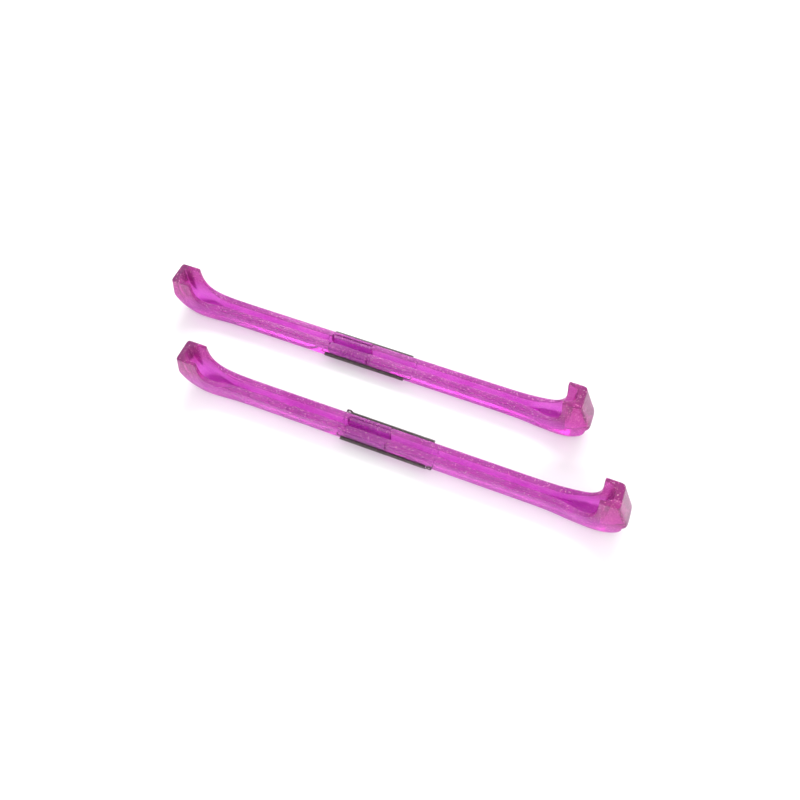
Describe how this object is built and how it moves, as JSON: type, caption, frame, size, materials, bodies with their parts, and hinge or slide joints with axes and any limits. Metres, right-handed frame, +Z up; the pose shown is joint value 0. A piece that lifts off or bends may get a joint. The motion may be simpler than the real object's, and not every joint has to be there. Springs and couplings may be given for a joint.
{
  "type": "skate blade guards",
  "caption": "Pair of figure-skate blade guards: each a heel shell and a sliding toe shell with end cups, pulled together by an extension spring on each side.",
  "frame": {"origin": "middle of the pair's bounding box, on the surface that the guards lie on", "axes": "+X along both guards from heel to toe, +Y across from guard A to guard B, +Z up"},
  "size_m": [0.3616, 0.083, 0.041],
  "materials": {
    "magenta_plastic": "glossy clear pink-purple PVC with fine glitter",
    "spring_steel": "plain drawn spring wire, dark grey"
  },
  "bodies": {
    "guard_a_heel": {"guard_a_heel_shell": "magenta_plastic", "guard_a_spring_left": "spring_steel", "guard_a_spring_right": "spring_steel"},
    "guard_a_toe": {"guard_a_toe_shell": "magenta_plastic"},
    "guard_b_heel": {"guard_b_heel_shell": "magenta_plastic", "guard_b_spring_left": "spring_steel", "guard_b_spring_right": "spring_steel"},
    "guard_b_toe": {"guard_b_toe_shell": "magenta_plastic"}
  },
  "joints": [
    {"name": "guard_a_stretch", "type": "slide", "parent": "guard_a_heel", "child": "guard_a_toe", "axis": [1, 0, 0], "range_m": [0, 0.02], "stiffness_N_per_m": 300, "springref_m": -0.02, "deforming": ["guard_a_spring_left", "guard_a_spring_right"]},
    {"name": "guard_b_stretch", "type": "slide", "parent": "guard_b_heel", "child": "guard_b_toe", "axis": [1, 0, 0], "range_m": [0, 0.02], "stiffness_N_per_m": 300, "springref_m": -0.02, "deforming": ["guard_b_spring_left", "guard_b_spring_right"]},
    {"name": "guard_b_lift", "type": "slide", "parent": "guard_a_heel", "child": "guard_b_heel", "axis": [0, 0, 1], "range_m": [0, 0.08]}
  ]
}
